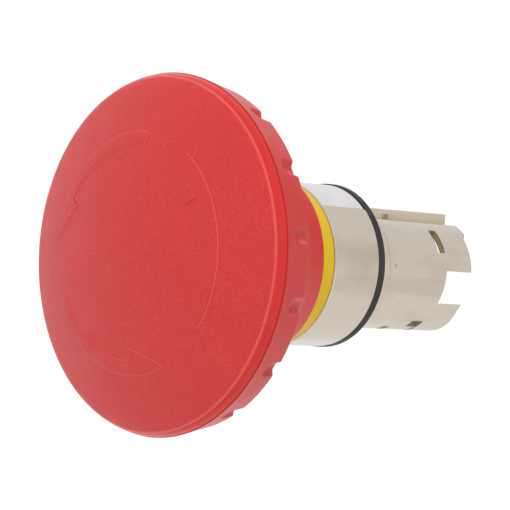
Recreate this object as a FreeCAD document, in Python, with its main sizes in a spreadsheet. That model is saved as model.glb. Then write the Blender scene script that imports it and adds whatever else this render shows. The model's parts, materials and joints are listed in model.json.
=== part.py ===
import FreeCAD, Part
import Sketcher
import math
import os

from FreeCAD import Placement, Rotation, Vector

# Emergency stop head for a 22 mm panel hole, in millimetres.
# The button's axis is Y.  The mushroom faces -Y, the shank runs to +Y through the panel,
# +Z is the side with the locating key.  The origin is on the axis, at the mounting face,
# where the gasket meets the panel.
# Inside the script, distances along the axis are "stations", counted rearward from a
# datum plane that lies DATUM_GAP in front of the mounting face, so that all are positive.

DATUM_GAP = 60.0

SIZES = {
    # Mushroom: domed face, rolled rim, side band with finger notches, conical back.
    "cap_radius": 30.8,
    "dome_radius": 72.0,
    "rim_roll": 2.6,
    "rim_station": 20.0,
    "band_rear": 26.1,
    "band_draft": 1.2,
    "cap_wall": 2.5,
    "boss_radius": 8.0,
    "boss_rear": 31.0,
    "notch_count": 16.0,
    "notch_radius": 1.55,
    "notch_depth": 0.9,
    "notch_front": 23.9,
    "notch_turn": 9.2,
    "cone_edge_radius": 16.1,
    "cone_edge_station": 43.2,
    "cone_wall": 1.4,
    "cone_spigot": 2.6,
    # Yellow ring between the mushroom and the bezel.
    "yellow_rear_radius": 14.3,
    "yellow_front_radius": 14.45,
    "yellow_front": 40.6,
    "yellow_bore": 12.2,
    "yellow_spigot_radius": 11.55,
    "yellow_spigot_bore": 10.0,
    # Bezel and gasket.
    "bezel_radius": 14.5,
    "bezel_front": 47.6,
    "bezel_rear": 58.45,
    "bezel_bore": 12.5,
    "bezel_lip_bore": 11.6,
    "bezel_lip": 0.7,
    "bezel_chamfer": 0.2,
    "mark_zone_depth": 0.12,
    "gasket_radius": 14.6,
    "gasket_bore": 11.12,
    "gasket_edge": 0.2,
    "gasket_notch_gap": 0.15,
    # Shank casting: flange inside the bezel, centring collar, tube with fork end.
    "seat": 60.0,
    "flange_radius": 12.46,
    "flange_front": 48.35,
    "collar_radius": 11.05,
    "collar_rear": 65.0,
    "shank_radius": 9.75,
    "shank_bore": 8.2,
    "chamber_radius": 10.6,
    "chamber_rear": 58.0,
    "shank_end": 89.5,
    "shank_side_end": 88.1,
    "side_end_half": 6.6,
    "side_end_chamfer": 1.2,
    "low_end": 87.9,
    "top_flat": 8.95,
    "rail_half": 2.0,
    "rail_top": 10.95,
    "rail_front": 73.8,
    "rail_rear": 88.5,
    "rail_chamfer": 0.8,
    "key_half": 1.55,
    "key_rear": 72.3,
    "key_chamfer": 0.5,
    "lug_top": 12.1,
    "pad_radius": 8.0,
    "pad_drop": 2.95,
    "pad_dip_front": 72.6,
    "pad_dip_rear": 74.5,
    "pad_groove_front": 80.3,
    "pad_groove_rear": 81.3,
    "pad_groove_floor": 10.3,
    "mould_mark_station": 67.9,
    "mould_mark_radius": 0.32,
    "mould_mark_depth": 0.18,
    "mould_mark_height": 0.8,
    "slot_front": 81.4,
    "slot_inner": 4.0,
    "slot_top": 0.4,
    "slot_bottom": -5.55,
    "window_front": 79.5,
    "window_inner": 7.0,
    "window_rear": 81.5,
    "window_half": 2.5,
    "window_turn": 37.0,
    "pocket_front": 78.0,
    "pocket_rear": 81.0,
    "pocket_half": 1.1,
    "pocket_depth": 0.9,
    "pocket_turn": 66.0,
    "pocket_hole": 0.75,
    "pocket_hole_inner": 7.5,
    "pocket_hole_inset": 1.2,
    "ring_groove_front": 53.0,
    "ring_groove_rear": 54.4,
    "ring_groove_floor": 11.6,
    "ring_middle": 12.04,
    "ring_wire": 0.42,
    "circlip_groove": 8.7,
    "socket_radius": 8.45,
    "socket_floor": 81.0,
    # Guide bush and wiper seal.
    "bush_front": 48.4,
    "bush_rear": 51.4,
    "seal_rear": 50.0,
    "seal_radius": 8.0,
    "seal_lip": 0.8,
    # Spindle.
    "spindle_radius": 4.0,
    "spindle_front": 19.0,
    "spindle_nose": 3.0,
    "spindle_shoulder": 65.1,
    "spindle_tail": 2.5,
    "spindle_end": 71.0,
    "cam_cone_start": 55.4,
    "cam_cone_end": 50.0,
    "cam_cone_slope": 0.2,
    "cam_shoulder": 49.6,
    "running_gap": 0.06,
    "hub_radius": 5.9,
    "hub_rear": 30.6,
    "cross_pin_radius": 1.0,
    "cross_pin_station": 25.0,
    # Latch cage with its two radial sliders and their springs.
    "cage_radius": 10.52,
    "cage_front": 51.5,
    "cage_rear": 57.9,
    "cage_bore": 4.4,
    "latch_station": 55.0,
    "latch_half": 1.5,
    "latch_gap": 0.1,
    "latch_tip": 4.15,
    "latch_tip_half": 0.4,
    "latch_neck": 5.3,
    "latch_back": 8.0,
    "latch_spring_end": 10.45,
    "latch_spring_radius": 1.0,
    "latch_spring_wire": 0.18,
    # Release cam, its torsion spring and the drive pin.
    "cam_front": 58.4,
    "cam_flange_rear": 59.6,
    "cam_flange_radius": 7.9,
    "cam_hub_radius": 6.2,
    "cam_rear": 64.6,
    "cam_bore": 4.2,
    "cam_slot_half": 1.0,
    "drive_pin_radius": 0.8,
    "drive_pin_station": 59.6,
    "drive_pin_half": 5.9,
    "twist_radius": 7.0,
    "twist_wire": 0.4,
    "twist_front": 60.1,
    "twist_pitch": 1.0,
    "twist_height": 3.6,
    # Pusher, return spring, spring seat and retaining pieces.
    "pusher_front": 65.2,
    "pusher_flange_rear": 66.7,
    "pusher_flange_radius": 7.8,
    "pusher_bore": 2.57,
    "pusher_web_rear": 68.0,
    "pusher_radius": 5.6,
    "pusher_inner": 4.4,
    "pusher_floor": 78.5,
    "pusher_end": 80.0,
    "pusher_flat": 5.1,
    "washer_rear": 68.5,
    "washer_radius": 4.1,
    "clip_front": 68.6,
    "clip_rear": 69.3,
    "clip_inner": 2.05,
    "clip_radius": 3.8,
    "spring_radius": 6.8,
    "spring_wire": 0.45,
    "spring_front": 67.25,
    "spring_pitch": 1.9,
    "spring_height": 7.9,
    "seat_ring_front": 75.8,
    "seat_ring_rear": 77.2,
    "seat_ring_radius": 8.15,
    "seat_ring_bore": 5.9,
    "seat_ring_flat": 5.4,
    "seat_clip_rear": 78.0,
    "seat_clip_inner": 7.1,
    "sleeve_front": 78.4,
    "sleeve_rear": 81.3,
    "sleeve_bore": 7.2,
}

doc = FreeCAD.newDocument("EmergencyStopHead")
sheet = doc.addObject("Spreadsheet::Sheet", "Sizes")
for row, (alias, number) in enumerate(SIZES.items(), start=1):
    sheet.set("A%d" % row, alias)
    sheet.set("B%d" % row, "%g" % number)
    sheet.setAlias("B%d" % row, alias)
doc.recompute()


class Length:
    """A size known both as an expression on the sheet and as its present value."""

    def __init__(self, text, value):
        self.text = text
        self.value = float(value)

    def joined(self, sign, other, value):
        return Length("(%s %s %s)" % (self.text, sign, as_length(other).text), value)

    def __add__(self, other):
        return self.joined("+", other, self.value + as_length(other).value)

    def __sub__(self, other):
        return self.joined("-", other, self.value - as_length(other).value)

    def __mul__(self, other):
        return self.joined("*", other, self.value * as_length(other).value)

    def __truediv__(self, other):
        return self.joined("/", other, self.value / as_length(other).value)


def as_length(thing):
    if isinstance(thing, Length):
        return thing
    return Length("%g" % thing, thing)


def root(length):
    return Length("sqrt(%s)" % length.text, math.sqrt(length.value))


def size(alias):
    """The sheet's cell of that name."""
    return Length("Sizes.%s" % alias, sheet.get(alias))


def bind(thing, path, length):
    thing.setExpression(path, as_length(length).text)


sub_parts = []


def new_body(label):
    """A sub-part, set back so that stations count from the datum plane."""
    body = doc.addObject("PartDesign::Body", label)
    body.Label = label
    body.Placement = Placement(Vector(0, -DATUM_GAP, 0), Rotation())
    sub_parts.append(body)
    return body


def plane_of(body, role):
    for item in body.Origin.OriginFeatures:
        if item.Role == role:
            return item
    raise ValueError("no origin plane " + role)


def new_sketch(body, role, name):
    sketch = body.newObject("Sketcher::SketchObject", name)
    sketch.AttachmentSupport = [(plane_of(body, role), "")]
    sketch.MapMode = "FlatFace"
    return sketch


def pin_point(sketch, edge, end, across, along):
    """Hold one end of an edge at its two bound distances from the sketch's origin."""
    for kind, axis, length in (("DistanceX", -2, across), ("DistanceY", -1, along)):
        if abs(length.value) < 1e-9:
            sketch.addConstraint(Sketcher.Constraint("PointOnObject", edge, end, axis))
        else:
            index = sketch.addConstraint(Sketcher.Constraint(kind, -1, 1, edge, end, length.value))
            bind(sketch, "Constraints[%d]" % index, length)


def arc_between(start, end, radius, bulge):
    """An arc from start to end; bulge is +1 when its centre lies left of the chord."""
    chord = end - start
    middle = (start + end) * 0.5
    rise = math.sqrt(radius * radius - chord.Length * chord.Length / 4)
    left = Vector(-chord.y, chord.x, 0).normalize()
    centre = middle + left * rise * bulge
    first = math.atan2(start.y - centre.y, start.x - centre.x)
    last = math.atan2(end.y - centre.y, end.x - centre.x)
    circle = Part.Circle(centre, Vector(0, 0, 1), radius)
    if bulge > 0:
        return Part.ArcOfCircle(circle, first, last), True
    return Part.ArcOfCircle(circle, last, first), False


def draw_outline(sketch, points, arcs=None):
    """A closed outline through points; arcs maps a side's number to its radius and bulge."""
    arcs = arcs or {}
    points = [(as_length(across), as_length(along)) for across, along in points]
    spots = [Vector(across.value, along.value, 0) for across, along in points]
    ends = []
    for number, spot in enumerate(spots):
        following = spots[(number + 1) % len(spots)]
        if number in arcs:
            radius, bulge = arcs[number]
            arc, forward = arc_between(spot, following, radius.value, bulge)
            edge = sketch.addGeometry(arc)
            index = sketch.addConstraint(Sketcher.Constraint("Radius", edge, radius.value))
            bind(sketch, "Constraints[%d]" % index, radius)
            ends.append((edge, 1, 2) if forward else (edge, 2, 1))
        else:
            edge = sketch.addGeometry(Part.LineSegment(spot, following))
            ends.append((edge, 1, 2))
    for number, (edge, start, end) in enumerate(ends):
        next_edge, next_start, next_end = ends[(number + 1) % len(ends)]
        sketch.addConstraint(Sketcher.Constraint("Coincident", edge, end, next_edge, next_start))
        pin_point(sketch, edge, start, *points[number])


def revolve(body, points, arcs=None, name="Turned", kind="PartDesign::Revolution"):
    """Turn an outline of (radius, station) points about the button's axis."""
    sketch = new_sketch(body, "XY_Plane", name + "Profile")
    draw_outline(sketch, points, arcs)
    feature = body.newObject(kind, name)
    feature.Profile = sketch
    feature.ReferenceAxis = (sketch, ["V_Axis"])
    feature.Angle = 360.0
    doc.recompute()
    return feature


def ring(label, inner, outer, front, rear):
    """A plain ring or disc between two stations."""
    body = new_body(label)
    revolve(body, [(inner, front), (outer, front), (outer, rear), (inner, rear)])
    return body


def block(body, name, low, high, turn=None, additive=False):
    """Add or cut a box given by its two corners, optionally turned about the axis."""
    before = body.Shape.Volume
    kind = "PartDesign::AdditiveBox" if additive else "PartDesign::SubtractiveBox"
    box = body.newObject(kind, name)
    low = [as_length(item) for item in low]
    high = [as_length(item) for item in high]
    for prop, first, last in zip(("Length", "Width", "Height"), low, high):
        bind(box, prop, last - first)
    place(box, low, turn)
    doc.recompute()
    check_change(body, name, before, additive)
    return box


def drill(body, name, base, direction, radius, length, additive=False):
    """Add or cut a cylinder from a base point along a direction."""
    before = body.Shape.Volume
    kind = "PartDesign::AdditiveCylinder" if additive else "PartDesign::SubtractiveCylinder"
    cylinder = body.newObject(kind, name)
    bind(cylinder, "Radius", radius)
    bind(cylinder, "Height", length)
    cylinder.Placement = Placement(Vector(), Rotation(Vector(0, 0, 1), direction))
    for axis, length_along in zip("xyz", base):
        bind(cylinder, "Placement.Base." + axis, length_along)
    doc.recompute()
    check_change(body, name, before, additive)
    return cylinder


def place(feature, corner, turn):
    """Put a feature's corner in place, then swing it about the Y axis by a bound angle."""
    if turn is None:
        for axis, distance in zip("xyz", corner):
            bind(feature, "Placement.Base." + axis, distance)
        return
    across, along, up = corner
    angle = as_length(turn)
    swing = Vector(0, -1 if angle.value > 0 else 1, 0)
    feature.Placement = Placement(Vector(), Rotation(swing, abs(angle.value)))
    bind(feature, "Placement.Rotation.Angle", Length("(%s) * 1 deg" % abs_text(angle), abs(angle.value)))
    cosine = "cos((%s) * 1 deg)" % angle.text
    sine = "sin((%s) * 1 deg)" % angle.text
    feature.setExpression("Placement.Base.x", "%s * %s - %s * %s" % (across.text, cosine, up.text, sine))
    feature.setExpression("Placement.Base.y", along.text)
    feature.setExpression("Placement.Base.z", "%s * %s + %s * %s" % (across.text, sine, up.text, cosine))


def abs_text(length):
    return "abs(%s)" % length.text


def check_change(body, name, before, additive):
    """A cut has to remove material and a boss has to add some."""
    change = body.Shape.Volume - before
    if (change > 0) != additive or abs(change) < 1e-6:
        raise RuntimeError("%s.%s changed the volume by %.6f" % (body.Label, name, change))


def coil(label, radius, wire, start, pitch, height, along_x=False):
    """A round-wire coil spring about the button's axis, or about X at a given station."""
    body = new_body(label)
    sketch = new_sketch(body, "XY_Plane", "WireSection")
    across, along = (start, radius) if along_x else (radius, start)
    middle = Vector(across.value, along.value, 0)
    edge = sketch.addGeometry(Part.Circle(middle, Vector(0, 0, 1), wire.value))
    index = sketch.addConstraint(Sketcher.Constraint("Radius", edge, wire.value))
    bind(sketch, "Constraints[%d]" % index, wire)
    pin_point(sketch, edge, 3, across, along)
    helix = body.newObject("PartDesign::AdditiveHelix", "Coil")
    helix.Profile = sketch
    helix.ReferenceAxis = (sketch, ["H_Axis" if along_x else "V_Axis"])
    helix.Mode = 0
    bind(helix, "Pitch", pitch)
    bind(helix, "Height", height)
    doc.recompute()
    return body


def repeat_round(body, feature, count, name):
    """Repeat a feature evenly about the button's axis."""
    before = body.Shape.Volume
    pattern = body.newObject("PartDesign::PolarPattern", name)
    pattern.Originals = [feature]
    pattern.Axis = (plane_of(body, "Y_Axis"), [""])
    pattern.Angle = 360.0
    bind(pattern, "Occurrences", count)
    body.Tip = pattern
    doc.recompute()
    check_change(body, name, before, False)
    return pattern


def soften(body, amount, wanted, kind="Fillet"):
    """Round or bevel the edges that the wanted test picks from the body's present shape."""
    names = []
    for number, edge in enumerate(body.Shape.Edges, start=1):
        if wanted(edge):
            names.append("Edge%d" % number)
    before, finished = body.Shape.Volume, body.Tip
    treated = body.newObject("PartDesign::" + kind, kind + "Edges")
    treated.Base = (finished, names)
    bind(treated, "Radius" if kind == "Fillet" else "Size", amount)
    body.Tip = treated
    doc.recompute()
    check_change(body, treated.Name, before, False)
    return treated


# ---------------------------------------------------------------- mushroom

def make_mushroom_cap():
    """Red front shell: domed face, rolled rim, notched band and the central boss."""
    body = new_body("mushroom_cap")
    dome, roll = size("dome_radius"), size("rim_roll")
    outer, wall = size("cap_radius"), size("cap_wall")
    roll_middle = outer - roll
    dome_centre = size("rim_station") + root((dome - roll) * (dome - roll) - roll_middle * roll_middle)
    share = dome / (dome - roll)
    face_edge = roll_middle * share
    face_station = dome_centre - (dome_centre - size("rim_station")) * share
    inner_dome = dome - wall
    inner_edge = outer - wall - roll
    inner_station = dome_centre - root(inner_dome * inner_dome - inner_edge * inner_edge)
    boss, bore = size("boss_radius"), size("hub_radius")
    boss_station = dome_centre - root(inner_dome * inner_dome - boss * boss)
    points = [
        (0, dome_centre - dome),
        (face_edge, face_station),
        (outer, size("rim_station")),
        (outer - size("band_draft"), size("band_rear")),
        (outer - wall, size("band_rear")),
        (outer - wall, inner_station + roll),
        (inner_edge, inner_station),
        (boss, boss_station),
        (boss, size("boss_rear")),
        (bore, size("boss_rear")),
        (bore, size("spindle_front") - 1),
        (0, size("spindle_front") - 1),
    ]
    arcs = {0: (dome, 1), 1: (roll, 1), 6: (inner_dome, -1)}
    revolve(body, points, arcs)
    turn = size("notch_turn")
    deep = outer - size("band_draft") / 2 + size("notch_radius") - size("notch_depth")
    cosine = Length("cos((%s) * 1 deg)" % turn.text, math.cos(math.radians(turn.value)))
    sine = Length("sin((%s) * 1 deg)" % turn.text, math.sin(math.radians(turn.value)))
    start = size("notch_front") + size("notch_radius") * 0.5
    lean = size("band_draft").value / (size("band_rear") - size("rim_station")).value
    aim = Vector(-lean * cosine.value, 1, -lean * sine.value)
    groove = drill(body, "Notch", (deep * cosine, start, deep * sine), aim,
                   size("notch_radius"), size("band_rear") - start + 1)
    repeat_round(body, groove, size("notch_count"), "Notches")
    return body


def make_mushroom_back():
    """Red conical back of the mushroom, with a spigot inside the cap and a rear skirt."""
    body = new_body("mushroom_back")
    outer = size("cap_radius") - size("band_draft") - size("notch_depth") - 0.1
    plug = size("cap_radius") - size("cap_wall") - 0.05
    wall, spigot = size("cone_wall"), size("cone_spigot")
    front, rear = size("band_rear"), size("cone_edge_station")
    edge = size("cone_edge_radius")
    points = [
        (plug - wall, front - spigot),
        (plug, front - spigot),
        (plug, front),
        (outer, front),
        (outer, front + 0.5),
        (edge + 2.2, rear - 5.2),
        (edge, rear),
        (edge - 0.65, rear),
        (edge + 0.7, rear - 5.6),
        (plug - wall, front + wall),
    ]
    revolve(body, points)
    return body


def make_spindle_hub():
    """Brass insert in the cap's boss that grips the spindle's nose."""
    nose = size("spindle_nose") + 0.01
    front = size("spindle_front") - 0.8
    body = ring("spindle_hub", nose, size("hub_radius") - 0.02, front, size("hub_rear"))
    reach = size("hub_radius")
    drill(body, "PinHole", (reach * -1, size("cross_pin_station"), 0), Vector(1, 0, 0),
          size("cross_pin_radius"), reach * 2)
    return body


def make_hub_pin():
    """Cross pin that ties the spindle to the hub."""
    body = new_body("hub_pin")
    reach = size("hub_radius") - 0.3
    drill_pin(body, (reach * -1, size("cross_pin_station"), 0), Vector(1, 0, 0),
              size("cross_pin_radius") - 0.01, reach * 2)
    return body


def drill_pin(body, base, direction, radius, length):
    """A pin is a single added cylinder."""
    pin = body.newObject("PartDesign::AdditiveCylinder", "Pin")
    bind(pin, "Radius", radius)
    bind(pin, "Height", length)
    pin.Placement = Placement(Vector(), Rotation(Vector(0, 0, 1), direction))
    for axis, distance in zip("xyz", base):
        bind(pin, "Placement.Base." + axis, distance)
    doc.recompute()
    return pin


def make_spindle():
    """Steel spindle: nose in the hub, latch cone and shoulder, body, tail for the pusher."""
    body = new_body("spindle")
    radius, nose, tail = size("spindle_radius"), size("spindle_nose"), size("spindle_tail")
    low = radius - (size("cam_cone_start") - size("cam_cone_end")) * size("cam_cone_slope")
    groove = size("clip_inner") - 0.01
    points = [
        (0, size("spindle_front")),
        (nose, size("spindle_front")),
        (nose, size("hub_rear") + 0.1),
        (radius, size("hub_rear") + 0.1),
        (radius, size("cam_shoulder")),
        (low, size("cam_cone_end")),
        (radius, size("cam_cone_start")),
        (radius, size("spindle_shoulder")),
        (tail, size("spindle_shoulder")),
        (tail, size("clip_front")),
        (groove, size("clip_front")),
        (groove, size("clip_rear")),
        (tail, size("clip_rear")),
        (tail, size("spindle_end")),
        (0, size("spindle_end")),
    ]
    revolve(body, points)
    drill(body, "HubPinHole", (radius * -1, size("cross_pin_station"), 0), Vector(1, 0, 0),
          size("cross_pin_radius"), radius * 2)
    drill(body, "DrivePinHole", (0, size("drive_pin_station"), radius * -1 - 1), Vector(0, 0, 1),
          size("drive_pin_radius"), radius * 2 + 2)
    return body


def make_drive_pin():
    """Cross pin that turns the release cam and slides in its slots."""
    body = new_body("drive_pin")
    half = size("drive_pin_half")
    drill_pin(body, (0, size("drive_pin_station"), half * -1), Vector(0, 0, 1),
              size("drive_pin_radius") - 0.01, half * 2)
    return body


# ---------------------------------------------------------------- bezel side

def make_yellow_ring():
    """Yellow ring that the mushroom's skirt slides over, plugged into the bezel."""
    body = new_body("yellow_ring")
    front, rear = size("yellow_front"), size("bezel_front")
    spigot = size("yellow_spigot_radius")
    bore, plug = size("yellow_bore"), size("yellow_spigot_bore")
    points = [
        (bore, front),
        (size("yellow_front_radius"), front),
        (size("yellow_rear_radius"), rear),
        (spigot, rear),
        (spigot, rear + size("bezel_lip") - 0.02),
        (plug, rear + size("bezel_lip") - 0.02),
        (plug, rear - 1),
        (bore, rear - 1.6),
    ]
    revolve(body, points)
    return body


def make_bezel():
    """Plated bezel sleeve with a shallow marking zone on its top quarter."""
    body = new_body("bezel")
    outer, bevel = size("bezel_radius"), size("bezel_chamfer")
    front, rear = size("bezel_front"), size("bezel_rear")
    points = [
        (size("bezel_lip_bore"), front),
        (outer - bevel, front),
        (outer, front + bevel),
        (outer, rear),
        (size("bezel_bore"), rear),
        (size("bezel_bore"), front + size("bezel_lip")),
        (size("bezel_lip_bore"), front + size("bezel_lip")),
    ]
    revolve(body, points)
    before = body.Shape.Volume
    depth = size("mark_zone_depth")
    sketch = new_sketch(body, "YZ_Plane", "MarkZoneProfile")
    draw_outline(sketch, [(front - 1, outer - depth), (rear + 1, outer - depth),
                          (rear + 1, outer + 1), (front - 1, outer + 1)])
    zone = body.newObject("PartDesign::Groove", "MarkZone")
    zone.Profile = sketch
    zone.ReferenceAxis = (sketch, ["H_Axis"])
    zone.Midplane = True
    zone.Angle = 90.0
    doc.recompute()
    check_change(body, "MarkZone", before, False)
    return body


def make_shank():
    """Die-cast body: flange inside the bezel, centring collar, shank with key and rail."""
    body = new_body("shank_body")
    flange, collar, shank = size("flange_radius"), size("collar_radius"), size("shank_radius")
    bore, chamber = size("shank_bore"), size("chamber_radius")
    front, rear = size("flange_front"), size("shank_end")
    socket = size("socket_radius")
    floor = size("ring_groove_floor")
    points = [
        (chamber, front),
        (flange, front),
        (flange, size("ring_groove_front")),
        (floor, size("ring_groove_front")),
        (floor, size("ring_groove_rear")),
        (flange, size("ring_groove_rear")),
        (flange, size("bezel_rear")),
        (collar, size("bezel_rear")),
        (collar, size("collar_rear")),
        (shank, size("collar_rear") + 0.4),
        (shank, rear - 0.25),
        (shank - 0.25, rear),
        (socket, rear),
        (socket, size("socket_floor")),
        (bore, size("socket_floor")),
        (bore, size("chamber_rear")),
        (chamber, size("chamber_rear")),
    ]
    revolve(body, points)
    flat, top = size("top_flat"), shank + 1
    block(body, "TopFlat", (top * -1, size("collar_rear") + 0.5, flat), (top, rear + 1, top))
    key, rail = size("key_half"), size("rail_half")
    inside = bore + 0.3
    block(body, "Key", (key * -1, size("collar_rear") - 1, inside),
          (key, size("key_rear"), size("rail_top")), additive=True)
    block(body, "LocatingLug", (key * -1, size("seat") + 0.2, inside),
          (key, size("collar_rear"), size("lug_top")), additive=True)
    block(body, "Rail", (rail * -1, size("rail_front"), inside),
          (rail, size("rail_rear"), size("rail_top")), additive=True)
    soften(body, size("rail_chamfer"), lambda edge: at_end(edge, size("rail_front")), kind="Chamfer")
    soften(body, size("key_chamfer"), lambda edge: at_end(edge, size("key_rear")), kind="Chamfer")
    pad_front = size("collar_rear") - 1
    drill(body, "Pad", (0, pad_front, size("pad_drop") * -1), Vector(0, 1, 0),
          size("pad_radius"), rear - 0.3 - pad_front, additive=True)
    reach = collar + 1
    for name in ("dip", "groove"):
        block(body, "Pad" + name.title(), (reach * -1, size("pad_%s_front" % name), reach * -1),
              (reach, size("pad_%s_rear" % name), size("pad_groove_floor") * -1))
    along = Vector(0, 1, 0)
    start, groove_start = size("collar_rear") - 1, size("seat_ring_rear") + 0.02
    drill(body, "BoreThroughPads", (0, start, 0), along, bore, rear - start + 1)
    drill(body, "Socket", (0, size("socket_floor"), 0), along, socket, rear - size("socket_floor") + 1)
    drill(body, "CirclipGroove", (0, groove_start, 0), along,
          size("circlip_groove"), size("seat_clip_rear") + 0.05 - groove_start)
    inner = size("slot_inner")
    for side, low, high in (("Right", inner, reach), ("Left", reach * -1, inner * -1)):
        block(body, "ForkSlot" + side, (low, size("slot_front"), size("slot_bottom")),
              (high, rear + 1, size("slot_top")))
        block(body, "SideEnd" + side, (low, size("shank_side_end"), size("side_end_half") * -1),
              (high, rear + 1, size("side_end_half")))
    block(body, "LowEnd", (reach * -1, size("low_end"), reach * -1),
          (reach, rear + 1, size("slot_bottom")))
    soften(body, size("side_end_chamfer"), is_prong_corner, kind="Chamfer")
    half = size("window_half")
    for name, turn in (("Right", size("window_turn")), ("Left", size("window_turn") * -1 + 180)):
        block(body, "Window" + name, (size("window_inner"), size("window_front"), half * -1),
              (reach, size("window_rear"), half), turn=turn)
    turn = size("pocket_turn") * -1
    half = size("pocket_half")
    block(body, "Pocket", (collar - size("pocket_depth") - 0.4, size("pocket_front"), half * -1),
          (reach + 1, size("pocket_rear"), half), turn=turn)
    angle = math.radians(size("pocket_turn").value)
    aim = Vector(math.cos(angle), 0, -math.sin(angle))
    inner = size("pocket_hole_inner")
    station = size("pocket_rear") - size("pocket_hole_inset")
    drill(body, "PocketHole", (inner * aim.x, station, inner * aim.z),
          aim, size("pocket_hole"), reach - inner)
    mark = size("mould_mark_depth")
    drill(body, "MouldMark",
          (shank - mark, size("mould_mark_station"), size("mould_mark_height")),
          Vector(1, 0, 0), size("mould_mark_radius"), mark + 1)
    return body


def is_prong_corner(edge):
    """True for the edges where the upper prong's end meets its flat undersides."""
    box = edge.BoundBox
    at_rear = abs(box.YMin + DATUM_GAP - size("shank_end").value) < 0.01 and box.YLength < 0.01
    return at_rear and abs(box.ZMin - size("side_end_half").value) < 0.01 and box.ZLength < 0.01


def at_end(edge, station):
    """True for the upright corners and the top edge of a rail or key that ends there."""
    box = edge.BoundBox
    in_plane = abs(box.YMin + DATUM_GAP - station.value) < 0.01 and box.YLength < 0.01
    upright = box.ZMin > size("top_flat").value - 0.05 and box.ZLength > 1
    return in_plane and (upright or box.ZMin > size("rail_top").value - 0.01)


def make_gasket():
    """Flat rubber ring that seals the bezel on the panel."""
    body = ring("panel_gasket", size("gasket_bore"), size("gasket_radius"),
                size("bezel_rear"), size("seat"))
    outer = size("gasket_radius").value
    soften(body, size("gasket_edge"), lambda edge: abs(edge.Length - 2 * math.pi * outer) < 0.01)
    half = size("key_half") + size("gasket_notch_gap")
    block(body, "KeyNotch", (half * -1, size("bezel_rear") - 1, size("gasket_bore") - 1),
          (half, size("seat") + 1, size("lug_top") + size("gasket_notch_gap")))
    return body


def make_seal_ring():
    """O-ring in the flange's groove, against the bezel's bore."""
    body = new_body("flange_o_ring")
    sketch = new_sketch(body, "XY_Plane", "Section")
    middle = (size("ring_groove_front") + size("ring_groove_rear")) / 2
    across, wire = size("ring_middle"), size("ring_wire")
    edge = sketch.addGeometry(Part.Circle(Vector(across.value, middle.value, 0),
                                          Vector(0, 0, 1), wire.value))
    index = sketch.addConstraint(Sketcher.Constraint("Radius", edge, wire.value))
    bind(sketch, "Constraints[%d]" % index, wire)
    pin_point(sketch, edge, 3, across, middle)
    turned = body.newObject("PartDesign::Revolution", "Turned")
    turned.Profile = sketch
    turned.ReferenceAxis = (sketch, ["V_Axis"])
    turned.Angle = 360.0
    doc.recompute()
    return body


def make_guide_bush():
    """Plastic bush that guides the spindle, with a recess for the wiper seal."""
    body = new_body("guide_bush")
    bore = size("spindle_radius") + size("running_gap")
    outer = size("chamber_radius") - 0.02
    points = [
        (size("seal_radius"), size("bush_front")),
        (outer, size("bush_front")),
        (outer, size("bush_rear")),
        (bore, size("bush_rear")),
        (bore, size("seal_rear")),
        (size("seal_radius"), size("seal_rear")),
    ]
    revolve(body, points)
    return body


def make_wiper_seal():
    """Rubber wiper around the spindle, with a thin lip towards the mushroom."""
    body = new_body("wiper_seal")
    bore = size("spindle_radius") + size("running_gap")
    outer, lip = size("seal_radius") - 0.02, size("seal_lip")
    points = [
        (bore, size("bush_front") - 1.2),
        (bore + lip * 0.5, size("bush_front") - 1.2),
        (bore + lip, size("bush_front") + 0.6),
        (outer - lip, size("bush_front") + 0.6),
        (outer - lip, size("bush_front")),
        (outer, size("bush_front")),
        (outer, size("seal_rear") - 0.02),
        (bore, size("seal_rear") - 0.02),
    ]
    revolve(body, points)
    return body


# ---------------------------------------------------------------- latch and release

def make_latch_cage():
    """Fixed cage with a square radial window for each latch slider."""
    body = ring("latch_cage", size("cage_bore"), size("cage_radius"),
                size("cage_front"), size("cage_rear"))
    half = size("latch_half") + size("latch_gap")
    middle = size("latch_station")
    reach = size("cage_radius") + 1
    block(body, "SliderWindow", (reach * -1, middle - half, half * -1), (reach, middle + half, half))
    return body


def make_latch_slider(side, sign):
    """Wedge-nosed slider that drops into the spindle's latch groove."""
    body = new_body("latch_slider_" + side)
    half, tip, neck = size("latch_half"), size("latch_tip"), size("latch_neck")
    middle, tip_half, back = size("latch_station"), size("latch_tip_half"), size("latch_back")
    sketch = new_sketch(body, "XY_Plane", "SliderProfile")
    outline = [(tip, middle + tip_half), (tip, middle - tip_half), (neck, middle - half),
               (back, middle - half), (back, middle + half), (neck, middle + half)]
    draw_outline(sketch, [(across * sign, along) for across, along in outline])
    pad = body.newObject("PartDesign::Pad", "SliderBar")
    pad.Profile = sketch
    pad.Midplane = True
    bind(pad, "Length", half * 2)
    doc.recompute()
    return body


def make_latch_spring(side, sign):
    """Small spring that presses a latch slider inward."""
    wire = size("latch_spring_wire")
    start = size("latch_back") + wire * 2
    height = size("latch_spring_end") - size("latch_back") - wire * 4
    if sign < 0:
        start = (start + height) * -1
    body = coil("latch_spring_" + side, size("latch_spring_radius"), wire, start,
                height / 3, height, along_x=True)
    body.Placement = Placement(Vector(0, size("latch_station").value - DATUM_GAP, 0), Rotation())
    doc.recompute()
    return body


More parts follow.
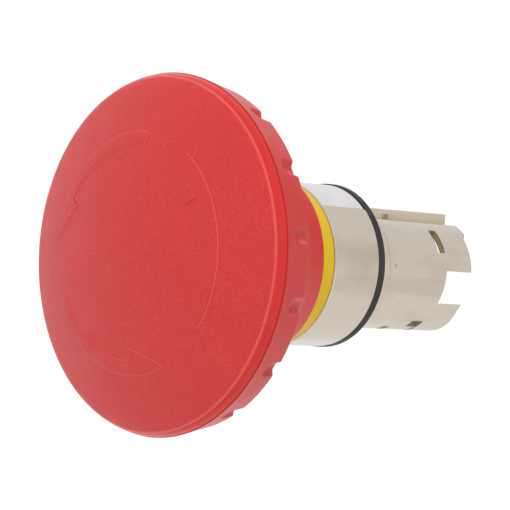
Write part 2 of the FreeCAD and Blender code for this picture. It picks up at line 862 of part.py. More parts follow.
def make_release_cam():
    """Cam sleeve that the drive pin turns; its slots let the pin travel with the push."""
    body = new_body("release_cam")
    bore, hub = size("cam_bore"), size("cam_hub_radius")
    flange, front = size("cam_flange_radius"), size("cam_front")
    points = [
        (bore, front),
        (flange, front),
        (flange, size("cam_flange_rear")),
        (hub, size("cam_flange_rear")),
        (hub, size("cam_rear")),
        (bore, size("cam_rear")),
    ]
    revolve(body, points)
    half, reach = size("cam_slot_half"), flange + 1
    start = size("drive_pin_station") - size("drive_pin_radius") - 0.1
    block(body, "PinSlotTop", (half * -1, start, bore - 1), (half, size("cam_rear") + 1, hub + 0.2))
    block(body, "PinSlotBottom", (half * -1, start, (hub + 0.2) * -1),
          (half, size("cam_rear") + 1, (bore - 1) * -1))
    return body


# ---------------------------------------------------------------- pusher side

def make_pusher():
    """Pusher that carries the push to the contact blocks; it slides and doesn't turn."""
    body = new_body("pusher")
    points = [
        (size("pusher_bore"), size("pusher_front")),
        (size("pusher_flange_radius"), size("pusher_front")),
        (size("pusher_flange_radius"), size("pusher_flange_rear")),
        (size("pusher_radius"), size("pusher_flange_rear")),
        (size("pusher_radius"), size("pusher_end") - 0.8),
        (size("pusher_radius") - 0.8, size("pusher_end")),
        (0, size("pusher_end")),
        (0, size("pusher_floor")),
        (size("pusher_inner"), size("pusher_floor")),
        (size("pusher_inner"), size("pusher_web_rear")),
        (size("pusher_bore"), size("pusher_web_rear")),
    ]
    revolve(body, points)
    flat, reach = size("pusher_flat"), size("pusher_radius") + 1
    for name, low, high in (("Right", flat, reach), ("Left", reach * -1, flat * -1)):
        block(body, "Flat" + name, (low, size("pusher_flange_rear"), reach * -1),
              (high, size("pusher_end") + 1, reach))
    return body


def make_spring_seat():
    """Fixed ring under the return spring, keyed to the pusher's two flats."""
    body = new_body("spring_seat")
    bore, flat = size("seat_ring_bore"), size("seat_ring_flat")
    outer = size("seat_ring_radius")
    front, rear = size("seat_ring_front"), size("seat_ring_rear")
    revolve(body, [(bore, front), (outer, front), (outer, rear), (bore, rear)])
    for name, low, high in (("Right", flat, bore + 0.3), ("Left", (bore + 0.3) * -1, flat * -1)):
        block(body, "Key" + name, (low, front, -2.6), (high, rear, 2.6), additive=True)
    return body


def make_seat_circlip():
    """Internal circlip that holds the spring seat in the shank, with its gap at the top."""
    body = ring("seat_circlip", size("seat_clip_inner"), size("circlip_groove") - 0.04,
                size("seat_ring_rear") + 0.04, size("seat_clip_rear"))
    block(body, "Gap", (-1.8, size("seat_ring_rear") - 1, 0),
          (1.8, size("seat_clip_rear") + 1, size("circlip_groove") + 1))
    return body


def make_spindle_circlip():
    """External circlip in the spindle's tail groove."""
    body = ring("spindle_circlip", size("clip_inner"), size("clip_radius"),
                size("clip_front") + 0.02, size("clip_rear") - 0.02)
    block(body, "Gap", (-0.9, size("clip_front") - 1, 0),
          (0.9, size("clip_rear") + 1, size("clip_radius") + 1))
    return body


make_mushroom_cap()
make_mushroom_back()
make_spindle_hub()
make_hub_pin()
make_spindle()
make_drive_pin()
make_yellow_ring()
make_bezel()
make_shank()
make_gasket()
make_seal_ring()
make_guide_bush()
make_wiper_seal()
make_latch_cage()
for side, sign in (("right", 1), ("left", -1)):
    make_latch_slider(side, sign)
    make_latch_spring(side, sign)
make_release_cam()
coil("twist_spring", size("twist_radius"), size("twist_wire"), size("twist_front") + size("twist_wire"),
     size("twist_pitch"), size("twist_height"))
make_pusher()
ring("thrust_washer", size("spindle_tail") + size("running_gap"), size("washer_radius"),
     size("pusher_web_rear") + 0.02, size("washer_rear"))
coil("return_spring", size("spring_radius"), size("spring_wire"), size("spring_front"),
     size("spring_pitch"), size("spring_height"))
make_spindle_circlip()
make_spring_seat()
make_seat_circlip()
ring("lock_sleeve", size("sleeve_bore"), size("shank_bore") - 0.03,
     size("sleeve_front"), size("sleeve_rear"))

doc.recompute()
for thing in doc.Objects:
    if "Invalid" in thing.State or "Error" in thing.State:
        raise RuntimeError("%s is %s" % (thing.Label, thing.State))
for part in sub_parts:
    shape = part.Shape
    if shape.isNull() or not shape.isValid():
        raise RuntimeError("%s has no valid shape" % part.Label)
    print("%-22s solids %d volume %9.2f" % (part.Label, len(shape.Solids), shape.Volume))

os.makedirs("parts", exist_ok=True)
for part in sub_parts:
    part.Shape.exportStep("parts/%s.step" % part.Label)
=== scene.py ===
import json
import math

import bmesh
import bpy
from mathutils import Matrix, Vector


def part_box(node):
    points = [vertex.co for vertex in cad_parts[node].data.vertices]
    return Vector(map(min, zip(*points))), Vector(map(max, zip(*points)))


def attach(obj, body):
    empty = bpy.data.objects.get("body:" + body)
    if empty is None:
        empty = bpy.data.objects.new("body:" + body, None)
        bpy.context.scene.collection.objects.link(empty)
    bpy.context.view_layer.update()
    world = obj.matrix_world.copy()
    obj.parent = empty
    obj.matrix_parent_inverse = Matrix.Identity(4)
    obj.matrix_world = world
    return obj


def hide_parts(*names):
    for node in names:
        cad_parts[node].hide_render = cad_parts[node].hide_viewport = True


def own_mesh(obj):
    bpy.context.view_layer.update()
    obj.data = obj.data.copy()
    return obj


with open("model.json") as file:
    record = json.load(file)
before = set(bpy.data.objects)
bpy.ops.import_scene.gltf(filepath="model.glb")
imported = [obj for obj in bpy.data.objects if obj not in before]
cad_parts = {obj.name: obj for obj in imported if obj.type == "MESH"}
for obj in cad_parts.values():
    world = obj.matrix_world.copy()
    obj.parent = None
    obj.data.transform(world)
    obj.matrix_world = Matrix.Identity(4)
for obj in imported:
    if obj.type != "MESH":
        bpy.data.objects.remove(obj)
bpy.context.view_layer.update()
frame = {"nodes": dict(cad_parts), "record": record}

# Emergency stop head.  Metres, Y is the button's axis, the mushroom faces -Y, +Z is the key's side.
MM = 0.001
UP = Vector((0, 0, 1))


# ------------------------------------------------------------------ places from the frame

def span(node):
    """Front and rear station, and outer radius, of a node turned about the axis."""
    low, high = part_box(node)
    return low[1], high[1], max(high[0], high[2])


CAP_FRONT, BOSS_REAR, CAP_RADIUS = span("mushroom_cap")
BACK_FRONT, BACK_REAR = span("mushroom_back")[:2]
YELLOW_FRONT = span("yellow_ring")[0]
BEZEL_FRONT, BEZEL_REAR, BEZEL_RADIUS = span("bezel")
SPIGOT = 2.6 * MM  # length of the back's rim that plugs into the cap
CAP_REAR = BACK_FRONT + SPIGOT


# ------------------------------------------------------------------ materials

class Nodes:
    """A material's node tree, with short calls to add nodes and links."""

    def __init__(self, name):
        self.material = bpy.data.materials.new(name)
        self.material.use_nodes = True
        self.tree = self.material.node_tree
        self.tree.nodes.clear()
        self.shader = self.add("ShaderNodeBsdfPrincipled")
        output = self.add("ShaderNodeOutputMaterial")
        self.link(self.shader.outputs["BSDF"], output.inputs["Surface"])
        self.place = self.add("ShaderNodeTexCoord").outputs["Object"]

    def add(self, kind, **settings):
        node = self.tree.nodes.new(kind)
        for key, value in settings.items():
            setattr(node, key, value)
        return node

    def link(self, source, target):
        self.tree.links.new(source, target)

    def noise(self, scale, detail=3.0, roughness=0.5, stretch=None):
        """A noise pattern; scale is in features per metre, stretch scales the axes."""
        node = self.add("ShaderNodeTexNoise")
        node.inputs["Scale"].default_value = scale
        node.inputs["Detail"].default_value = detail
        node.inputs["Roughness"].default_value = roughness
        place = self.place
        if stretch:
            mapping = self.add("ShaderNodeMapping")
            mapping.inputs["Scale"].default_value = stretch
            self.link(self.place, mapping.inputs["Vector"])
            place = mapping.outputs["Vector"]
        self.link(place, node.inputs["Vector"])
        return node.outputs["Fac"]

    def spread(self, source, low, high, start=0.3, end=0.7):
        """The source's range start..end spread over low..high."""
        node = self.add("ShaderNodeMapRange")
        node.inputs["From Min"].default_value = start
        node.inputs["From Max"].default_value = end
        node.inputs["To Min"].default_value = low
        node.inputs["To Max"].default_value = high
        self.link(source, node.inputs["Value"])
        return node.outputs["Result"]

    def blend(self, source, first, second, start=0.3, end=0.7):
        """A colour that runs from first to second as the source rises."""
        node = self.add("ShaderNodeValToRGB")
        node.color_ramp.elements[0].position = start
        node.color_ramp.elements[0].color = (*first, 1)
        node.color_ramp.elements[1].position = end
        node.color_ramp.elements[1].color = (*second, 1)
        self.link(source, node.inputs["Fac"])
        return node.outputs["Color"]

    def over(self, below, colour, share):
        """A plain colour laid over another colour output, by a share output."""
        node = self.add("ShaderNodeMix", data_type="RGBA")
        self.link(share, node.inputs["Factor"])
        self.link(below, node.inputs["A"])
        node.inputs["B"].default_value = (*colour, 1)
        return node.outputs["Result"]

    def bump(self, source, height, strength=1.0, below=None):
        """Bumps the shader's normal by a height in metres, on top of another normal if given."""
        node = self.add("ShaderNodeBump")
        node.inputs["Distance"].default_value = height
        node.inputs["Strength"].default_value = strength
        self.link(source, node.inputs["Height"])
        if below:
            self.link(below, node.inputs["Normal"])
        self.link(node.outputs["Normal"], self.shader.inputs["Normal"])

    def put(self, socket, value):
        """A plain number or colour, or another node's output, on a shader socket."""
        target = self.shader.inputs[socket]
        if isinstance(value, bpy.types.NodeSocket):
            self.link(value, target)
        else:
            target.default_value = value

    def ageing(self, scale=90.0):
        """Slow, faint variation that keeps a surface from being one flat tone."""
        return self.noise(scale, detail=4.0, roughness=0.6)


# Grain scales are in features per metre, grain heights in metres.
FACE_GRAIN = 3600.0
SATIN_GRAIN = 1500.0


def moulded(name, colour, wear_and_edge_highlight, grain_scale, grain_height, roughness, gloss=0.5, glint_colour=None):
    """Moulded plastic with a fine spark-eroded grain; a lighter colour can be painted on its high
    spots as painted glints.
    """
    nodes = Nodes(name)
    tone = nodes.blend(nodes.ageing(), colour, wear_and_edge_highlight)
    if glint_colour:
        # Painted glints: a lighter colour laid on grain-sized spots.
        glint_spots = nodes.noise(FACE_GRAIN, detail=1.0, roughness=0.4)
        tone = nodes.over(tone, glint_colour, nodes.spread(glint_spots, 0.0, 0.3, start=0.50, end=0.72))
    nodes.put("Base Color", tone)
    nodes.put("Roughness", nodes.spread(nodes.ageing(240.0), *roughness))
    nodes.put("Specular IOR Level", gloss)
    nodes.bump(nodes.noise(grain_scale, detail=2.0, roughness=0.55), grain_height)
    return nodes.material


def plated(name, colour, tarnish, grime_and_shade, wear_and_edge_highlight, roughness):
    """Nickel plating over a casting: satin, faint tarnish and stain spots, painted shade in
    corners, painted highlight along edges.
    """
    edge_width, shade_reach, wave_height = 0.0002, 0.003, 0.00012
    nodes = Nodes(name)
    stain = nodes.noise(110.0, detail=4.0, roughness=0.6, stretch=(1, 0.35, 1))
    spots = nodes.noise(700.0, detail=2.0, roughness=0.5)
    plating = nodes.blend(stain, colour, tarnish, start=0.52, end=0.8)
    plating = nodes.over(plating, grime_and_shade, nodes.spread(spots, 0.0, 0.45, start=0.68, end=0.76))
    # Painted highlight: where the bevel's rounded normal turns away from the true normal, along
    # edges, a lighter colour is laid over the plating.
    rounding = nodes.add("ShaderNodeBevel", samples=6)
    rounding.inputs["Radius"].default_value = edge_width
    facing = nodes.add("ShaderNodeVectorMath", operation="DOT_PRODUCT")
    nodes.link(rounding.outputs["Normal"], facing.inputs[0])
    nodes.link(nodes.add("ShaderNodeNewGeometry").outputs["Normal"], facing.inputs[1])
    edge_highlight_mask = nodes.spread(facing.outputs["Value"], 1.0, 0.0, start=0.86, end=0.98)
    plating = nodes.over(plating, wear_and_edge_highlight, edge_highlight_mask)
    # Painted shade: where ambient occlusion finds nearby surfaces, the darker stain colour is laid
    # over and the metal turns less metallic, so corners and crevices read darker.
    corners = nodes.add("ShaderNodeAmbientOcclusion", samples=8)
    corners.inputs["Distance"].default_value = shade_reach
    shade_in_corner = nodes.spread(corners.outputs["AO"], 1.0, 0.0, start=0.4, end=0.95)
    nodes.put("Base Color", nodes.over(plating, grime_and_shade, shade_in_corner))
    nodes.put("Metallic", nodes.spread(corners.outputs["AO"], 0.25, 1.0, start=0.35, end=0.85))
    scuffs = nodes.noise(300.0, detail=4.0, stretch=(1, 0.3, 1))
    nodes.put("Roughness", nodes.spread(scuffs, *roughness))
    waves = nodes.noise(70.0, detail=1.5, stretch=(1, 0.25, 1))
    nodes.bump(waves, wave_height, strength=0.6, below=rounding.outputs["Normal"])
    return nodes.material


def rubber():
    """Matt black rubber."""
    nodes = Nodes("black_rubber_finish")
    nodes.put("Base Color", nodes.blend(nodes.ageing(), (0.013, 0.012, 0.012),
                                        (0.024, 0.022, 0.022)))
    nodes.put("Roughness", nodes.spread(nodes.ageing(300.0), 0.5, 0.7))
    nodes.put("Specular IOR Level", 0.35)
    nodes.bump(nodes.noise(3500.0), 0.00001)
    return nodes.material


def turned_metal(name, colour, roughness):
    """Bare metal with fine turning marks round the axis."""
    nodes = Nodes(name)
    darker = tuple(0.8 * channel for channel in colour)
    nodes.put("Base Color", nodes.blend(nodes.ageing(), colour, darker))
    nodes.put("Metallic", 1.0)
    nodes.put("Roughness", nodes.spread(nodes.noise(900.0), *roughness))
    nodes.bump(nodes.noise(1500.0, stretch=(1, 12, 1)), 0.000005)
    return nodes.material


FINISH = {
    "red_plastic": moulded("red_grain_finish", (0.50, 0.016, 0.014), (0.475, 0.013, 0.012),
                           grain_scale=FACE_GRAIN, grain_height=0.00009,
                           roughness=(0.40, 0.48), gloss=0.4, glint_colour=(0.62, 0.08, 0.075)),
    "red_satin": moulded("red_satin_finish", (0.455, 0.016, 0.015), (0.43, 0.014, 0.013),
                         grain_scale=SATIN_GRAIN, grain_height=0.00002,
                         roughness=(0.34, 0.42), gloss=0.38),
    # Painted highlight: a lighter red for the bead's line and the arrows' sloping sides.
    "red_bead_highlight": moulded("red_bead_highlight_finish", (0.60, 0.068, 0.062), (0.57, 0.058, 0.053),
                        grain_scale=SATIN_GRAIN, grain_height=0.00001,
                        roughness=(0.3, 0.4), gloss=0.3),
    # Painted shade: a darker red for the crease between roll and band.
    "red_crease_shade": moulded("red_crease_shade_finish", (0.40, 0.013, 0.012), (0.37, 0.011, 0.010),
                          grain_scale=SATIN_GRAIN, grain_height=0.00001,
                          roughness=(0.5, 0.6), gloss=0.1),
    "red_cone": moulded("red_cone_finish", (0.505, 0.020, 0.018), (0.48, 0.017, 0.016),
                        grain_scale=SATIN_GRAIN, grain_height=0.00002,
                        roughness=(0.46, 0.54), gloss=0.3),
    "red_smooth": moulded("red_smooth_finish", (0.505, 0.020, 0.017), (0.48, 0.017, 0.015),
                          grain_scale=1200.0, grain_height=0.000004,
                          roughness=(0.26, 0.32), gloss=0.25),
    # Painted highlight: a lighter red along the notches' edges and the band's rear edge.
    "red_edge_highlight": moulded("red_edge_highlight_finish", (0.52, 0.042, 0.040), (0.49, 0.036, 0.034),
                        grain_scale=SATIN_GRAIN, grain_height=0.00001,
                        roughness=(0.4, 0.5), gloss=0.2),
    # Painted highlight: an orange line on the cone's rear rim.
    "red_lip_highlight": moulded("red_lip_highlight_finish", (0.80, 0.25, 0.08), (0.74, 0.20, 0.07),
                       grain_scale=SATIN_GRAIN, grain_height=0.00001,
                       roughness=(0.4, 0.5), gloss=0.2),
    "yellow_plastic": moulded("yellow_finish", (0.575, 0.385, 0.004), (0.55, 0.365, 0.003),
                              grain_scale=1800.0, grain_height=0.00001,
                              roughness=(0.32, 0.42), gloss=0.2),
    "plated_zinc": plated("plated_zinc_finish", (0.535, 0.475, 0.405), tarnish=(0.45, 0.37, 0.29),
                          grime_and_shade=(0.44, 0.35, 0.22), wear_and_edge_highlight=(0.80, 0.77, 0.72),
                          roughness=(0.14, 0.22)),
    "blasted_zinc": moulded("blasted_zinc_finish", (0.56, 0.55, 0.555), (0.48, 0.465, 0.465),
                            grain_scale=2400.0, grain_height=0.00005, roughness=(0.4, 0.5)),
    "steel": turned_metal("steel_finish", (0.55, 0.55, 0.56), roughness=(0.25, 0.4)),
    "brass": turned_metal("brass_finish", (0.72, 0.52, 0.22), roughness=(0.25, 0.4)),
    "black_rubber": rubber(),
    "black_plastic": moulded("black_plastic_finish", (0.03, 0.03, 0.033), (0.045, 0.045, 0.05),
                             grain_scale=2600.0, grain_height=0.00001, roughness=(0.4, 0.55)),
}


def dress(piece, *finishes):
    """Gives a piece its finishes.

    Clearing sets every face back to the first finish, so a mesh without any isn't cleared.
    """
    if piece.data.materials:
        piece.data.materials.clear()
    for finish in finishes:
        piece.data.materials.append(FINISH[finish])


for row in frame["record"]["subparts"]:
    dress(frame["nodes"][row["node"]], row["material_slot"])


# ------------------------------------------------------------------ mesh helpers

def rounded(profile, radii, steps=5):
    """The profile with its corners rounded; radii maps a corner's number to its radius."""
    points = []
    count = len(profile)
    for number, corner in enumerate(profile):
        corner = Vector(corner)
        radius = radii.get(number, 0)
        if not radius:
            points.append(corner)
            continue
        before = (Vector(profile[number - 1]) - corner).normalized()
        after = (Vector(profile[(number + 1) % count]) - corner).normalized()
        half = before.angle(after) / 2
        reach = radius / math.tan(half)
        middle = corner + (before + after).normalized() * (radius / math.sin(half))
        start = corner + before * reach - middle
        end = corner + after * reach - middle
        for step in range(steps + 1):
            points.append(middle + start.slerp(end, step / steps) * radius)
    return points


def lathe(name, profile, segments=192, shift=None, finish_of=None, closed=True):
    """A profile of (radius, station) turned about the axis.

    An open profile starts and ends on the axis.  shift(angle, radius, station) gives how
    far a point moves inward, and finish_of(angle, radius, station) a face's finish there.
    """
    mesh = bmesh.new()
    rings = []
    for radius, station in profile:
        if radius == 0:
            rings.append([mesh.verts.new((0, station, 0))] * segments)
            continue
        ring = []
        for step in range(segments):
            angle = 2 * math.pi * step / segments
            reach = radius - (shift(angle, radius, station) if shift else 0)
            spot = reach * math.cos(angle), station, reach * math.sin(angle)
            ring.append(mesh.verts.new(spot))
        rings.append(ring)
    following_rings = rings[1:] + rings[:1] if closed else rings[1:]
    for number, (ring, following) in enumerate(zip(rings, following_rings)):
        near, far = profile[number], profile[(number + 1) % len(profile)]
        middle = (near[0] + far[0]) / 2, (near[1] + far[1]) / 2
        for step in range(segments):
            other = (step + 1) % segments
            corners = [ring[step], ring[other], following[other], following[step]]
            face = mesh.faces.new(list(dict.fromkeys(corners)))
            if finish_of:
                face.material_index = finish_of(2 * math.pi * (step + 0.5) / segments, *middle)
    return finish_mesh(mesh, name)


def finish_mesh(mesh, name, angle=35.0):
    """A linked, smooth-shaded object made from a bmesh, which is freed."""
    bmesh.ops.recalc_face_normals(mesh, faces=mesh.faces)
    data = bpy.data.meshes.new(name)
    mesh.to_mesh(data)
    mesh.free()
    piece = bpy.data.objects.new(name, data)
    bpy.context.scene.collection.objects.link(piece)
    smooth(piece, angle)
    return piece


def smooth(piece, angle=35.0):
    """Smooth shading, with edges sharper than the angle kept hard."""
    data = piece.data
    data.polygons.foreach_set("use_smooth", [True] * len(data.polygons))
    data.set_sharp_from_angle(angle=math.radians(angle))


def settle(piece, body, slot_name, *finishes, node=None):
    """A finished piece rides on a body, and may stand for a CAD node."""
    dress(piece, *finishes)
    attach(piece, body)
    if node:
        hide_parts(node)


for node in frame["nodes"].values():
    smooth(node, 30.0)


# ------------------------------------------------------------------ mushroom

# The cap's outline: dome and roll radii, the bead at the face's edge, the band and its crease.
DOME = 72 * MM
FACE_EDGE = 29.8 * MM
EDGE_LINE = 0.45 * MM
BEAD = 0.035 * MM
ROLL = 2.6 * MM
CREASE = CAP_REAR - 6.1 * MM
CREASE_STEP = 0.15 * MM
BAND_DRAFT = 1.2 * MM
EDGE_ROUND = 0.18 * MM
CAP_WALL = 2.5 * MM
ROLL_CENTRE = CAP_RADIUS - ROLL - CREASE_STEP

# The finger notches round the band.
NOTCHES = 16
NOTCH_TURN = math.radians(9.2)
NOTCH_RADIUS = 1.55 * MM
NOTCH_DEPTH = 0.9 * MM
NOTCH_SOFTNESS = 0.25 * MM
NOTCH_FRONT = CAP_REAR - 2.1 * MM


def dome(radius, below=0.0):
    """Station of the domed face, or of the surface a distance below it, at a radius."""
    return CAP_FRONT + DOME - math.sqrt((DOME - below) ** 2 - radius ** 2)


def notch(angle, radius, station):
    """How far the band is hollowed at a place, by the nearest rounded notch."""
    on_inner_wall = radius < CAP_RADIUS - CAP_WALL + 0.5 * MM
    if station < NOTCH_FRONT - 2 * NOTCH_RADIUS or on_inner_wall:
        return 0.0
    pitch = 2 * math.pi / NOTCHES
    across = CAP_RADIUS * ((angle - NOTCH_TURN + pitch / 2) % pitch - pitch / 2)
    along = min(0.0, station - NOTCH_FRONT)
    away = math.hypot(across, along)
    depth = math.sqrt(max(0.0, NOTCH_RADIUS ** 2 - away ** 2)) - (NOTCH_RADIUS - NOTCH_DEPTH)
    if depth <= -3 * NOTCH_SOFTNESS:
        return 0.0
    return 0.5 * (depth + math.sqrt(depth ** 2 + NOTCH_SOFTNESS ** 2))


def cap_profile():
    """Outline of the cap: face, bead at its edge, roll, band, inner wall and boss."""
    tangent = ROLL_CENTRE * DOME / (DOME - ROLL)
    points = [(tangent * number / 40, dome(tangent * number / 40)) for number in range(41)]
    points[0] = (0, CAP_FRONT)
    start = math.asin((tangent - ROLL_CENTRE) / ROLL)
    bead, line = math.asin((FACE_EDGE - ROLL_CENTRE) / ROLL), EDGE_LINE / ROLL
    rest = math.pi / 2 - bead - line
    turns = [start + (bead - start) * number / 6 for number in range(1, 7)]
    turns += [bead + line * 0.3, bead + line * 0.7]
    turns += [bead + line + rest * number / 10 for number in range(11)]
    for angle in turns:
        reach = ROLL + (BEAD if bead < angle < bead + line else 0)
        points.append((ROLL_CENTRE + reach * math.sin(angle), CREASE - reach * math.cos(angle)))
    band_front, band_rear = CREASE + 0.2 * MM, CAP_REAR - EDGE_ROUND
    for number in range(29):
        share = number / 28
        points.append((CAP_RADIUS - BAND_DRAFT * share,
                       band_front + (band_rear - band_front) * share))
    for number in range(1, 6):
        angle = math.pi / 2 * number / 5
        points.append((CAP_RADIUS - BAND_DRAFT - EDGE_ROUND + EDGE_ROUND * math.cos(angle),
                       band_rear + EDGE_ROUND * math.sin(angle)))
    inner = CAP_RADIUS - CAP_WALL
    points += [(inner, CAP_REAR), (inner, dome(inner - ROLL, CAP_WALL) + ROLL)]
    points += [((inner - ROLL) * share, dome((inner - ROLL) * share, CAP_WALL))
               for share in (1.0, 0.85, 0.7, 0.55, 0.4)]
    hub_low, hub_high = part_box("spindle_hub")
    boss, bore = 8 * MM, hub_high[0] + 0.02 * MM
    floor = hub_low[1] - 0.2 * MM
    points += [(boss, dome(boss, CAP_WALL)), (boss, BOSS_REAR), (bore, BOSS_REAR),
               (bore, floor), (0, floor)]
    return points


def cap_finish(angle, radius, station):
    """Grained face 0, roll 1, satin band 2, painted highlight along the notches' and band's edges
    3, painted highlight on the bead 4, painted shade in the crease 5.
    """
    if CREASE - 0.05 * MM < station < CREASE + 0.25 * MM:
        return 5
    if station < CREASE:
        turned = math.atan2(radius - ROLL_CENTRE, CREASE - station)
        bead = math.asin((FACE_EDGE - ROLL_CENTRE) / ROLL)
        if turned < bead:
            return 0
        return 4 if turned < bead + EDGE_LINE / ROLL else 1
    if station > CAP_REAR - EDGE_ROUND and radius > CAP_RADIUS - BAND_DRAFT - EDGE_ROUND:
        return 3
    return 3 if 0.04 * MM < notch(angle, radius, station) < 0.22 * MM else 2


def make_cap():
    """The mushroom's front shell, with its bead, roll, notched band and boss."""
    cap = lathe("mushroom_shell", cap_profile(), segments=960, shift=notch,
                finish_of=cap_finish, closed=False)
    # Finishes 3 and 4 paint highlights along the notch and band edges and on the bead; finish 5
    # paints shade in the crease.
    settle(cap, "mushroom", "red_plastic", "red_plastic", "red_smooth", "red_satin", "red_edge_highlight",
           "red_bead_highlight", "red_crease_shade", node="mushroom_cap")


def arrow_rows():
    """Rows across one arrow from tail to tip: angle, inner radius and outer radius."""
    inner, outer, barb, tip = 18.0 * MM, 20.45 * MM, 15.6 * MM, 20.2 * MM
    barb_angle, tip_angle = math.radians(66.5), math.radians(90.0)
    rows = [(barb_angle * step / 44, inner, outer) for step in range(45)]
    start = Vector((barb * math.cos(barb_angle), barb * math.sin(barb_angle)))
    end = Vector((tip * math.cos(tip_angle), tip * math.sin(tip_angle)))
    for step in range(21):
        share = step / 20
        spot = start.lerp(end, share)
        rows.append((math.atan2(spot.y, spot.x), spot.length,
                     outer if share < 1 else tip + 0.15 * MM))
    return rows


def make_arrow(name, turn):
    """A raised arrow on the face: a low plateau with sloping sides that end in the face."""
    height, slope, sunk = 0.10 * MM, 0.13 * MM, 0.02 * MM
    mesh = bmesh.new()
    rows = []
    for angle, inner, outer in arrow_rows():
        row = []
        for part in range(5):
            radius = inner + (outer - inner) * part / 4
            row.append(mesh.verts.new((radius * math.cos(angle + turn), dome(radius) - height,
                                       radius * math.sin(angle + turn))))
        rows.append(row)
    for row, following in zip(rows, rows[1:]):
        for part in range(4):
            mesh.faces.new((row[part], row[part + 1], following[part + 1], following[part]))
    bmesh.ops.remove_doubles(mesh, verts=mesh.verts, dist=0.001 * MM)
    rim = [edge for edge in mesh.edges if edge.is_boundary]
    made = bmesh.ops.extrude_edge_only(mesh, edges=rim)
    skirt = {item for item in made["geom"] if isinstance(item, bmesh.types.BMVert)}
    # The sloping sides take the second finish, a painted highlight that outlines each arrow.
    for side in (item for item in made["geom"] if isinstance(item, bmesh.types.BMFace)):
        side.material_index = 1
    mesh.normal_update()
    for vert in skirt:
        beside = [edge.other_vert(vert) for edge in vert.link_edges]
        sides = [other.co for other in beside if other in skirt]
        above = next(other for other in beside if other not in skirt)
        along = (sides[0] - sides[-1]).normalized()
        outward = along.cross(Vector((0, 1, 0))).normalized()
        around = [edge.other_vert(above).co for edge in above.link_edges]
        middle = sum(around, Vector()) / len(around)
        if outward.dot(above.co - middle) < 0:
            outward.negate()
        vert.co += outward * slope
        radius = math.hypot(vert.co.x, vert.co.z)
        vert.co.y = dome(radius) + sunk
    arrow = finish_mesh(mesh, name, 60.0)
    settle(arrow, "mushroom", "red_plastic", "red_plastic", "red_bead_highlight")


def make_back():
    """The mushroom's conical back, from the spigot inside the cap to the rear skirt."""
    outer = CAP_RADIUS - BAND_DRAFT - NOTCH_DEPTH - 0.1 * MM
    plug = CAP_RADIUS - CAP_WALL - 0.05 * MM
    wall, shoulder, lip = 1.4 * MM, 0.15 * MM, 0.3 * MM
    front, rear, edge = CAP_REAR, BACK_REAR, 16.1 * MM
    corners = [
        (plug - wall, front - SPIGOT), (plug, front - SPIGOT), (plug, front), (outer, front),
        (outer, front + shoulder), (edge + 2.2 * MM, rear - 5.2 * MM), (edge, rear),
        (edge - 0.65 * MM, rear), (edge + 0.7 * MM, rear - 5.6 * MM), (plug - wall, front + wall),
    ]
    profile = rounded(corners, {3: 0.05 * MM, 5: 9 * MM, 6: 0.2 * MM, 7: 0.2 * MM, 8: 6 * MM}, 8)

    def back_finish(angle, radius, station):
        """Painted highlight on the rear rim's lip 1, all else 0."""
        return int(station > rear - lip and radius > edge - lip)

    back = lathe("mushroom_cone", profile, segments=256, finish_of=back_finish)
    settle(back, "mushroom", "red_plastic", "red_cone", "red_lip_highlight", node="mushroom_back")


def make_yellow_ring():
    """The ring between mushroom and bezel, with eased front edges and its plug."""
    seam, bore, plug_bore, plug_radius = BEZEL_FRONT, 12.2 * MM, 10 * MM, 11.55 * MM
    plug_rear = seam + 0.68 * MM
    corners = [
        (bore, YELLOW_FRONT), (14.45 * MM, YELLOW_FRONT), (14.3 * MM, seam), (plug_radius, seam),
        (plug_radius, plug_rear), (plug_bore, plug_rear), (plug_bore, seam - 1 * MM),
        (bore, seam - 1.6 * MM),
    ]
    profile = rounded(corners, {0: 0.3 * MM, 1: 0.5 * MM, 2: 0.2 * MM})
    ring = lathe("yellow_collar", profile, segments=256)
    settle(ring, "root", "yellow_plastic", "yellow_plastic", node="yellow_ring")


def make_marking_zone():
    """The blank blasted patch on the bezel's top quarter, where markings would go."""
    radius, thickness, margin = BEZEL_RADIUS - 0.11 * MM, 0.08 * MM, 0.3 * MM
    steps, low, high = 64, math.radians(46.2), math.radians(133.8)
    mesh = bmesh.new()
    rows = []
    for step in range(steps + 1):
        angle = low + (high - low) * step / steps
        rows.append([mesh.verts.new((reach * math.cos(angle), station, reach * math.sin(angle)))
                     for reach, station in ((radius - thickness, BEZEL_FRONT + margin),
                                            (radius, BEZEL_FRONT + margin),
                                            (radius, BEZEL_REAR - margin),
                                            (radius - thickness, BEZEL_REAR - margin))])
    for row, following in zip(rows, rows[1:]):
        for part in range(4):
            other = (part + 1) % 4
            mesh.faces.new((row[part], row[other], following[other], following[part]))
    for row in (rows[0], rows[-1]):
        mesh.faces.new(row)
    settle(finish_mesh(mesh, "marking_zone"), "root", "plated_zinc", "blasted_zinc")


SEAM_FRONT, SEAM_REAR, SHANK_RADIUS = 6.2 * MM, 21.0 * MM, 9.75 * MM


def make_seam(name, turn):
    """A faint lengthwise ridge on the shank where two halves of the casting die met."""
    half, height, fade = 0.09 * MM, 0.012 * MM, 0.4 * MM
    mesh = bmesh.new()
    rows = []
    for station in (SEAM_FRONT, SEAM_FRONT + fade, SEAM_REAR - fade, SEAM_REAR):
        rise = 0 if station in (SEAM_FRONT, SEAM_REAR) else height
        section = ((-half, -height), (-0.4 * half, rise), (0.4 * half, rise), (half, -height))
        rows.append([mesh.verts.new((SHANK_RADIUS + lift, station, across))
                     for across, lift in section])
    for row, following in zip(rows, rows[1:]):
        for part in range(3):
            mesh.faces.new((row[part], row[part + 1], following[part + 1], following[part]))
    bmesh.ops.rotate(mesh, verts=mesh.verts,
                     matrix=Matrix.Rotation(-math.radians(turn), 3, "Y"))
    settle(finish_mesh(mesh, name), "root", "plated_zinc", "plated_zinc")


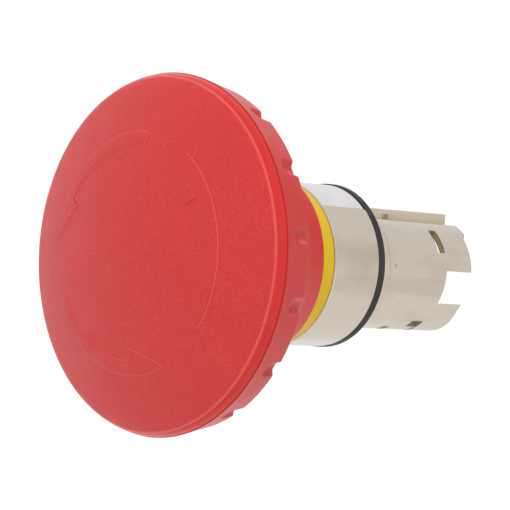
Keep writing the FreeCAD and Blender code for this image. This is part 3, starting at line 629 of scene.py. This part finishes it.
def make_return_coil():
    """The return spring, copied from the CAD spring's mesh."""
    data = frame["nodes"]["return_spring"].data.copy()
    coil = bpy.data.objects.new("return_coil", data)
    bpy.context.scene.collection.objects.link(coil)
    settle(coil, "root", "steel", "steel", node="return_spring")
    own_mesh(coil)


make_cap()
for number, turn in enumerate((86.0, -34.0, -154.0), start=1):
    make_arrow("release_arrow_%d" % number, math.radians(turn))
make_back()
make_yellow_ring()
make_marking_zone()
make_return_coil()
for number, turn in enumerate((16.0, -17.0, -48.0), start=1):
    make_seam("casting_seam_%d" % number, turn)
    make_seam("casting_seam_%d" % (number + 3), 180.0 - turn)


# ------------------------------------------------------------------ camera, light and floor

def make_camera():
    """Level with the axis and half-way between the front and the side, slightly rolled."""
    azimuth, height, roll = math.radians(46.34), math.radians(-0.07), math.radians(3.91)
    distance, aim = 0.4605, Vector((-0.0090, -0.0092, 0.0010))
    forward = Vector((-math.sin(azimuth) * math.cos(height),
                      math.cos(azimuth) * math.cos(height), math.sin(height)))
    level = forward.cross(UP).normalized()
    right = level * math.cos(roll) + level.cross(forward) * math.sin(roll)
    camera_data = bpy.data.cameras.new("camera")
    camera_data.sensor_width = 36.0
    camera_data.lens = 181.3
    camera_data.clip_start = 0.01
    camera = bpy.data.objects.new("camera", camera_data)
    bpy.context.scene.collection.objects.link(camera)
    turn = Matrix((right, right.cross(forward), -forward)).transposed()
    camera.matrix_world = Matrix.Translation(aim - forward * distance) @ turn.to_4x4()
    bpy.context.scene.camera = camera


def make_light(name, size, energy, place, aim):
    """A white square area light at a place, turned to its aim; reflections don't show it."""
    data = bpy.data.lights.new(name, "AREA")
    data.size = size
    data.energy = energy
    light = bpy.data.objects.new(name, data)
    bpy.context.scene.collection.objects.link(light)
    light.location = place
    light.visible_glossy = False
    light.rotation_euler = (Vector(place) - Vector(aim)).to_track_quat("Z", "Y").to_euler()


def make_stage():
    """A pale floor that curves up into a pale wall all round."""
    mesh = bmesh.new()
    floor, reach, curve, wall_top = -0.075, 3.0, 0.8, 3.0
    profile = [(reach - curve, floor)]
    for step in range(1, 13):
        angle = math.pi / 2 * step / 12
        profile.append((reach - curve + curve * math.sin(angle),
                        floor + curve - curve * math.cos(angle)))
    profile.append((reach, wall_top))
    segments = 96
    turns = [2 * math.pi * step / segments for step in range(segments)]
    centre = mesh.verts.new((0, 0, floor))
    rings = [[mesh.verts.new((radius * math.cos(turn), radius * math.sin(turn), height))
              for turn in turns] for radius, height in profile]
    for step in range(segments):
        mesh.faces.new((centre, rings[0][step], rings[0][(step + 1) % segments]))
    for ring, following in zip(rings, rings[1:]):
        for step in range(segments):
            other = (step + 1) % segments
            mesh.faces.new((ring[step], following[step], following[other], ring[other]))
    floor_piece = finish_mesh(mesh, "floor", 60.0)
    nodes = Nodes("floor_finish")
    nodes.put("Base Color", (0.3, 0.3, 0.3, 1))
    nodes.put("Roughness", 0.9)
    nodes.put("Emission Color", (1, 1, 1, 1))
    nodes.put("Emission Strength", 0.72)
    floor_piece.data.materials.append(nodes.material)


def make_flag(name, low, high, tone):
    """A grey card that only reflections see, between two corners of an upright rectangle."""
    mesh = bmesh.new()
    corners = [(low[0], low[1], low[2]), (high[0], high[1], low[2]),
               (high[0], high[1], high[2]), (low[0], low[1], high[2])]
    mesh.faces.new([mesh.verts.new(corner) for corner in corners])
    flag = finish_mesh(mesh, name)
    nodes = Nodes(name + "_finish")
    nodes.put("Base Color", (tone, tone, tone, 1))
    nodes.put("Roughness", 1.0)
    flag.data.materials.append(nodes.material)
    flag.visible_camera = False
    flag.visible_shadow = False
    flag.visible_diffuse = False


def make_world():
    """Even white light from all round."""
    world = bpy.data.worlds.new("studio")
    world.use_nodes = True
    background = world.node_tree.nodes["Background"]
    background.inputs["Color"].default_value = (1, 1, 1, 1)
    background.inputs["Strength"].default_value = 1.0
    bpy.context.scene.world = world


make_camera()
make_stage()
make_world()
make_light("key", 0.3, 4.0, (0.45, -0.4, 0.8), (0, 0, 0))
make_flag("low_flag", (-0.14, 0.11, -0.074), (0.2, 0.11, -0.02), 0.8)
make_flag("rear_flag", (-0.7, 1.0, -0.07), (0.2, 1.0, 0.45), 0.02)
make_flag("side_flag", (1.1, 0.1, -0.07), (1.1, 0.45, 0.1), 0.35)
bpy.context.scene.view_settings.view_transform = "Standard"
